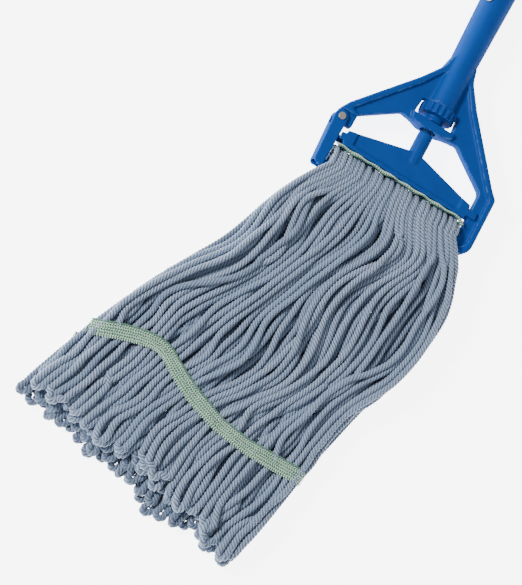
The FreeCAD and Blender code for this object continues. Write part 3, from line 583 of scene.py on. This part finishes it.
def tape(name, line, face, width, closed, node, body):
    """A tape along a line of points in mm, with its stitches; face points off the yarn."""
    line, face, width = np.asarray(line, float), unit(np.asarray(face, float)), np.asarray(width, float)
    run, over, up = tape_surface(line, face, closed)
    count, lanes = len(line), 7
    travelled = np.concatenate([[0], np.cumsum(np.linalg.norm(np.diff(line, axis=0), axis=1))])
    shares = np.linspace(-0.5, 0.5, lanes)
    scallop = SCALLOP_DEPTH * np.abs(np.sin(travelled * math.pi / SCALLOP_LENGTH))
    grid = line[:, None] + over[:, None] * (shares[None, :, None] * width[:, None, None])
    grid[:, 0] -= over * scallop[:, None]
    grid += up[:, None] * (CROWN * np.cos(shares * math.pi))[None, :, None]
    mesh = bpy.data.meshes.new(name)
    rows = range(count if closed else count - 1)
    faces = [(i * lanes + j, i * lanes + j + 1, (i + 1) % count * lanes + j + 1, (i + 1) % count * lanes + j)
             for i in rows for j in range(lanes - 1)]
    mesh.from_pydata(to_model(grid.reshape(-1, 3)), [], faces)
    mesh.materials.append(tape_material)
    mesh.shade_smooth()
    strip = bpy.data.objects.new(name, mesh)
    bpy.context.scene.collection.objects.link(strip)
    wall = strip.modifiers.new("wall", "SOLIDIFY")
    wall.thickness = TAPE_THICKNESS * MM
    wall.offset = 1.0
    wall.use_rim = True
    points, runs, ups, longs, shade = [], [], [], [], []
    seats = ((-0.49, 90, 2.2, 1.0), (-0.36, 40, 3.3, 1.0), (-0.19, -40, 3.3, 0.9), (-0.02, 40, 3.3, 0.85),
             (0.15, -40, 3.3, 0.9), (0.31, 40, 3.3, 0.8), (0.45, 0, 3.0, 0.1))
    for place_at in np.arange(0, travelled[-1], STITCH_GAP):
        def here(array):
            return np.array([np.interp(place_at, travelled, array[:, a]) for a in range(3)])
        middle, along, cross, off = here(line), unit(here(run)), unit(here(over)), unit(here(up))
        wide = np.interp(place_at, travelled, width)
        for share, angle, size, tint in seats:
            lean = math.radians(angle + rng.uniform(-9, 9))
            puff = CROWN * math.cos(share * math.pi) + TAPE_THICKNESS
            points.append(middle + cross * wide * (share + rng.uniform(-0.012, 0.012)) + off * puff)
            runs.append(along * math.cos(lean) + cross * math.sin(lean))
            ups.append(off)
            longs.append(size * MM * rng.uniform(0.92, 1.1))
            shade.append(tint * rng.uniform(0.8, 1.0))
    seed_mesh = bpy.data.meshes.new(name + "_stitches")
    seed_mesh.from_pydata(to_model(points), [], [])
    for key, kind, numbers in (("run", "FLOAT_VECTOR", runs), ("face", "FLOAT_VECTOR", ups)):
        field = seed_mesh.attributes.new(key, kind, "POINT")
        field.data.foreach_set("vector", np.array(numbers, np.float32).ravel())
    for key, numbers in (("long", longs), ("shade", shade)):
        field = seed_mesh.attributes.new(key, "FLOAT", "POINT")
        field.data.foreach_set("value", np.array(numbers, np.float32))
    stitches = grown(name + "_stitches", seed_mesh, stitch_tree, {
        "Thread Width": 1.5 * MM, "Thread Height": 0.9 * MM, "Material": stitch_material})
    for thing in (strip, stitches):
        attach(thing, body)
    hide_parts(node)


def band_section(strands, half):
    """A closed line round some lengths where their tape is, with its faces and its widths."""
    shares = np.linspace(0, 1, 131)
    lengths_here = BAND_LENGTH + (band_bend(shares) if half == "upper" else LOWER_BAND_SHIFT + 0 * shares)
    at = [np.interp(band_length[k], lengths, across[:, k]) for k in strands]
    high = [np.interp(band_length[k], lengths, height[:, k]) for k in strands]
    thick = [YARN_RADIUS * np.interp(band_length[k], lengths, squeeze[:, k]) for k in strands]
    left = np.stack([np.interp(lengths_here, lengths, left_line[:, a]) for a in (0, 1)], 1)
    right = np.stack([np.interp(lengths_here, lengths, right_line[:, a]) for a in (0, 1)], 1)
    here = left + (right - left) * shares[:, None]
    wide = np.linalg.norm(right - left, axis=1)
    off = np.abs(shares[:, None] * wide[:, None] - np.array(at)[None])
    cover = np.sqrt(np.clip(1 - (off / (np.array(thick) * 1.9)) ** 2, 0, None)) * np.array(thick)
    touching = off < np.array(thick) * 1.9
    upper_side = np.where(touching, np.array(high) + cover, -99).max(1)
    lower_side = np.where(touching, np.array(high) - cover, 99).min(1)
    window = np.ones(7) / 7
    upper_side = np.convolve(np.pad(np.maximum(upper_side, -12), 3, "edge"), window, "valid") + 0.7
    lower_side = np.convolve(np.pad(np.minimum(lower_side, 5), 3, "edge"), window, "valid") - 0.3
    lower_side = np.maximum(lower_side, floor_height + 1.6)
    upper_side = np.maximum(upper_side, lower_side + 3)
    middle = (upper_side + lower_side) / 2
    round_off = np.sqrt(np.clip(1 - (2 * shares - 1) ** 14, 0.02, None))
    over_line = np.column_stack([here, middle + (upper_side - middle) * round_off])
    under_line = np.column_stack([here, middle + (lower_side - middle) * round_off])[::-1]
    line = np.concatenate([over_line, under_line])
    steps = np.concatenate([[0], np.cumsum(np.linalg.norm(np.diff(line, axis=0), axis=1))])
    even = np.arange(0, steps[-1], LINE_STEP)
    line = np.stack([np.interp(even, steps, line[:, a]) for a in range(3)], 1)
    run = np.roll(line, -1, 0) - np.roll(line, 1, 0)
    level = np.stack([-run[:, 1], run[:, 0], 0 * run[:, 0]], 1)
    way = unit(np.where(np.linalg.norm(level, axis=1, keepdims=True) > 0.5, level, (0.12, 1, 0)))
    way *= np.sign(way[:, 1:2])
    face = np.cross(run, way)
    return line, face, TAPE_WIDTH * (0.94 + 0.05 * np.sin(even / 17))


for half, chosen in (("upper", np.flatnonzero(is_upper)), ("lower", np.flatnonzero(~is_upper))):
    line, face, widths = band_section(chosen, half)
    tape("tape_%s_tail" % half, line, face, widths, True, "tail_band_" + half, "root")

# The headband is the same tape, sewn over the fold of the yarn and wavy where it stands off it. It lies
# between the jaw and the crossbar, and its two ends stand out past the last lengths.
HEADBAND_WIDTH = 21.0
HEADBAND_MIDDLE = -16.6
HEADBAND_RISE = 4.6
LOOSE_END = 7.0
band_low, band_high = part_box("headband")
across_x = np.arange((band_low.x - axis_x) / MM + 1.5, (band_high.x - axis_x) / MM + 3.5, LINE_STEP)
FOLD_SKIN = 13.6


def headband_side(sign):
    """The middle line and the outward faces of the tape over one side of the fold."""
    tilt = np.radians(23 + 5 * np.sin(across_x / 5.3))
    out = FOLD_SKIN + 1.0 + 0.5 * np.sin(across_x / 3.1)
    loose_end = LOOSE_END * ramp(across_x, 70, 78)
    line = np.stack([across_x, HEADBAND_MIDDLE + out * np.cos(tilt) - loose_end,
                     sign * (HEADBAND_RISE + out * np.sin(tilt))], 1)
    return line, np.stack([0 * across_x, np.cos(tilt), sign * np.sin(tilt)], 1)


for sign, word in ((1, "upper"), (-1, "lower")):
    line, face = headband_side(sign)
    if sign < 0:
        line, face = line[::-1], face[::-1]
    tape("headband_" + word, line, face, np.full(len(line), HEADBAND_WIDTH / 2), False, "headband", "handle")


# The frame is one moulding of stiff plastic: two arms, a closed leg, a crossbar and the
# socket that takes the pole. Its edges are rounded by the mould and a little scuffed by use.
def ironed(mesh, rounds):
    """Rounds a mesh's edges by smoothing it, and keeps how much each point stood proud as an attribute."""
    count = len(mesh.vertices)
    points = np.empty(count * 3)
    mesh.vertices.foreach_get("co", points)
    points = points.reshape(-1, 3)
    normals = np.empty(count * 3)
    mesh.vertices.foreach_get("normal", normals)
    normals = normals.reshape(-1, 3)
    pairs = np.empty(len(mesh.edges) * 2, int)
    mesh.edges.foreach_get("vertices", pairs)
    ends = pairs.reshape(-1, 2)
    ends = np.concatenate([ends, ends[:, ::-1]])
    shared = np.bincount(ends[:, 0], minlength=count)[:, None]
    start = points.copy()
    for _ in range(rounds):
        around = np.stack([np.bincount(ends[:, 0], points[ends[:, 1], a], count) for a in range(3)], 1)
        points += 0.5 * (around / shared - points)
    proud = ((start - points) * normals).sum(1) / MM
    mesh.vertices.foreach_set("co", points.ravel())
    mesh.attributes.new("proud", "FLOAT", "POINT").data.foreach_set("value", proud.astype(np.float32))
    mesh.update()


def moulded(name, node, voxel, rounds, material):
    """A soft-edged copy of a CAD piece, in one closed skin."""
    mesh = frame["nodes"][node].data.copy()
    sheet = bmesh.new()
    sheet.from_mesh(mesh)
    bmesh.ops.remove_doubles(sheet, verts=sheet.verts, dist=0.005 * MM)
    sheet.to_mesh(mesh)
    sheet.free()
    mesh.materials.clear()
    mesh.materials.append(material)
    thing = bpy.data.objects.new(name, mesh)
    bpy.context.scene.collection.objects.link(thing)
    skin = thing.modifiers.new("skin", "REMESH")
    skin.mode = "VOXEL"
    skin.voxel_size = voxel * MM
    skin.use_smooth_shade = True
    ready = thing.evaluated_get(bpy.context.evaluated_depsgraph_get())
    plain = bpy.data.meshes.new_from_object(ready)
    thing.modifiers.remove(skin)
    thing.data = plain
    plain.name = name
    ironed(plain, rounds)
    plain.shade_smooth()
    body = [key for key, members in frame["record"]["behaviour"]["bodies"].items() if node in members][0]
    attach(thing, body)
    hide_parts(node)
    return thing


def shader_group(name, outputs, inputs):
    """A shader node group with named inputs and outputs."""
    group = bpy.data.node_groups.new(name, "ShaderNodeTree")
    for key, value in inputs:
        socket = group.interface.new_socket(name=key, in_out="INPUT", socket_type="NodeSocketFloat")
        socket.default_value = value
    for key in outputs:
        group.interface.new_socket(name=key, in_out="OUTPUT", socket_type="NodeSocketFloat")
    source, out = group.nodes.new("NodeGroupInput"), group.nodes.new("NodeGroupOutput")
    return group, {socket.name: socket for socket in source.outputs}, out


# Scuffs, haze and grain that every moulding and metal part shares: masks and a height that change over it.
wear, wear_in, wear_out = shader_group("handling_marks", ("Scuff", "Haze", "Grain"), (
    ("Edge Start", 0.12), ("Edge End", 0.5), ("Grain Scale", 1400.0)))
edge = add_node(wear, "ShaderNodeMapRange", i0=attribute(wear, "proud"))
wear.links.new(wear_in["Edge Start"], edge.inputs[1])
wear.links.new(wear_in["Edge End"], edge.inputs[2])
patchy = spread(wear, noise(wear, 160, 4, 0.65), 0.42, 0.68)
wear.links.new(maths(wear, "MULTIPLY", edge.outputs[0], patchy), wear_out.inputs["Scuff"])
wear.links.new(spread(wear, noise(wear, 38, 4, 0.6), 0.35, 0.7), wear_out.inputs["Haze"])
fine = add_node(wear, "ShaderNodeTexNoise", Vector=place_of(wear), Detail=2.0)
wear.links.new(wear_in["Grain Scale"], fine.inputs["Scale"])
wear.links.new(fine.outputs["Fac"], wear_out.inputs["Grain"])


METAL_SPECULAR = 0.5
PLASTIC_SPECULAR = 0.16


def worn_material(name, colour, scuffed, rough, haze_rough, grain, grain_scale, metal=0.0):
    """A colour that is deeper where it is hazed and paler where its edges are scuffed, with a fine grain."""
    material, tree, shader = new_material(name, colour, rough)
    marks = tree.nodes.new("ShaderNodeGroup")
    marks.node_tree = wear
    marks.inputs["Grain Scale"].default_value = grain_scale
    haze, scuff = marks.outputs["Haze"], marks.outputs["Scuff"]
    deeper = tuple(0.72 * c for c in colour)
    body = mixed(tree, maths(tree, "MULTIPLY", haze, 0.5), colour, deeper)
    body = mixed(tree, maths(tree, "MULTIPLY", scuff, 0.55), body, scuffed)
    tree.links.new(body, shader.inputs["Base Color"])
    hazed = spread(tree, haze, 0, 1, rough, haze_rough)
    rougher = maths(tree, "ADD", hazed, maths(tree, "MULTIPLY", scuff, 0.2))
    tree.links.new(rougher, shader.inputs["Roughness"])
    shader.inputs["Metallic"].default_value = metal
    shader.inputs["Specular IOR Level"].default_value = METAL_SPECULAR if metal else PLASTIC_SPECULAR
    relief(tree, shader, marks.outputs["Grain"], grain, 0.12 * MM)
    return material


BLUE = (0.0, 0.057, 0.295)
blue_plastic = worn_material("blue_moulded_plastic", BLUE, (0.16, 0.36, 0.66), 0.36, 0.50, 0.35, 1300)
frame_skin = moulded("frame_moulding", "yoke_frame", 1.0, 7, blue_plastic).data

# The bore for the jaw's boss and screw is opened again, a little over its size, because the rounding of
# the edges narrowed it. The radii and levels are in millimetres, from the screw's axis and the jaw's edge.
BOSS_BORE = 8.65
BOSS_BORE_END = 66.3
SCREW_BORE = 6.9
SCREW_BORE_END = 101.6
for point in frame_skin.vertices:
    beside = Vector((point.co.x - axis_x, 0, point.co.z - deck)) / MM
    level, reach = (point.co.y - jaw_edge) / MM, beside.length
    bored = BOSS_BORE if level < BOSS_BORE_END - 0.4 else SCREW_BORE
    if SCREW_BORE_END - 1.5 < level < SCREW_BORE_END and reach < SCREW_BORE - 0.2:
        point.co.y = jaw_edge + SCREW_BORE_END * MM
    elif BOSS_BORE_END - 8 < level < SCREW_BORE_END and bored - 1.5 < reach < bored:
        point.co += beside * (bored / reach - 1) * MM
frame_skin.update()

# The side gate is a channel moulded in the same plastic, which closes the frame's open side over the end
# of the crossbar. It swings on a headed rivet of dull metal through the ears of the left arm.
moulded("gate_moulding", "gate_arm", 0.6, 6, blue_plastic)
steel = worn_material("rivet_steel", (0.52, 0.49, 0.47), (0.75, 0.74, 0.72), 0.34, 0.5, 0.3, 2600, 0.9)
moulded("gate_rivet", "gate_pin", 0.22, 4, steel)

# The jaw is moulded in the same plastic. Its screw is a darker nylon stud with a coarse thread, which
# winds up through the thumbwheel.
moulded("jaw_moulding", "jaw_bar", 0.75, 6, blue_plastic)
screw_low, screw_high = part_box("jaw_screw")
THREAD_LEAD = 4 * MM
THREAD_ROOT = 4.9 * MM
THREAD_CREST = 6.2 * MM
THREAD_SIDES = 40
THREAD_RINGS = 176
stud = bmesh.new()
rings = []
for level in np.linspace(screw_low.y, screw_high.y, THREAD_RINGS):
    from_end = min(level - screw_low.y, screw_high.y - level)
    fade = min(1.0, max(0.0, (from_end - 1.0 * MM) / (3 * MM)))
    ring = []
    for step in range(THREAD_SIDES):
        angle = 2 * math.pi * step / THREAD_SIDES
        climb = ((level - screw_low.y) / THREAD_LEAD - step / THREAD_SIDES) % 1.0
        ridge = min(1.0, max(0.0, 1.9 - 5.2 * abs(climb - 0.5))) * fade
        reach = THREAD_ROOT + (THREAD_CREST - THREAD_ROOT) * ridge
        ring.append(stud.verts.new((axis_x + reach * math.cos(angle), level, deck + reach * math.sin(angle))))
    rings.append(ring)
for low_ring, high_ring in zip(rings, rings[1:]):
    for step in range(THREAD_SIDES):
        after = (step + 1) % THREAD_SIDES
        stud.faces.new((low_ring[step], high_ring[step], high_ring[after], low_ring[after]))
stud.faces.new(rings[0])
stud.faces.new(reversed(rings[-1]))
bmesh.ops.recalc_face_normals(stud, faces=stud.faces)
stud_mesh = bpy.data.meshes.new("screw_stud")
stud.to_mesh(stud_mesh)
stud.free()
nylon = worn_material("screw_nylon", (0.004, 0.03, 0.11), (0.06, 0.16, 0.32), 0.4, 0.55, 0.3, 2000)
stud_mesh.materials.append(nylon)
stud_mesh.shade_smooth()
screw_stud = bpy.data.objects.new("screw_stud", stud_mesh)
bpy.context.scene.collection.objects.link(screw_stud)
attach(screw_stud, "jaw")
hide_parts("jaw_screw")

# The thumbwheel is the screw's nut, moulded with a scalloped rim in a slightly deeper blue. It turns in
# the frame's window, and draws the screw and its jaw up or down.
WHEEL_BLUE = (0.0, 0.048, 0.26)
wheel_plastic = worn_material("thumbwheel_plastic", WHEEL_BLUE, (0.14, 0.32, 0.60), 0.33, 0.46, 0.3, 1500)
moulded("wheel_moulding", "thumbwheel", 0.45, 4, wheel_plastic)

# The pole is a drawn blue fibreglass tube, with fine streaks along it. It sits in the frame's socket and
# is held there by the cross rivet.
fibreglass, tree, shader = new_material("pole_fibreglass", (0.0016, 0.06, 0.27), 0.3)
shader.inputs["Specular IOR Level"].default_value = 0.2
streak_place = add_node(tree, "ShaderNodeMapping", Vector=place_of(tree), Scale=(900, 9, 900))
streak = add_node(tree, "ShaderNodeTexNoise", Vector=streak_place.outputs[0], Scale=1.0, Detail=3.0)
drawn = mixed(tree, streak.outputs["Fac"], (0.001, 0.045, 0.22), (0.002, 0.08, 0.33))
drawn = mixed(tree, spread(tree, noise(tree, 45, 3), 0.5, 0.75, 0.0, 0.25), drawn, (0.008, 0.10, 0.32))
tree.links.new(drawn, shader.inputs["Base Color"])
tree.links.new(spread(tree, streak.outputs["Fac"], 0.2, 0.8, 0.26, 0.42), shader.inputs["Roughness"])
relief(tree, shader, streak.outputs["Fac"], 0.25, 0.1 * MM)
shader.inputs["Coat Weight"].default_value = 0.3
pole = frame["nodes"]["pole_tube"]
pole.data.materials.clear()
pole.data.materials.append(fibreglass)
moulded("socket_rivet", "pole_rivet", 0.25, 4, steel)

# The end cap is a soft vinyl moulding, pushed on over the end of the pole. It has a flattened tongue with
# a hole to hang the mop by.
vinyl = worn_material("end_cap_vinyl", (0.0012, 0.05, 0.23), (0.10, 0.22, 0.42), 0.45, 0.6, 0.4, 1700)
moulded("cap_moulding", "pole_end_cap", 0.7, 5, vinyl)
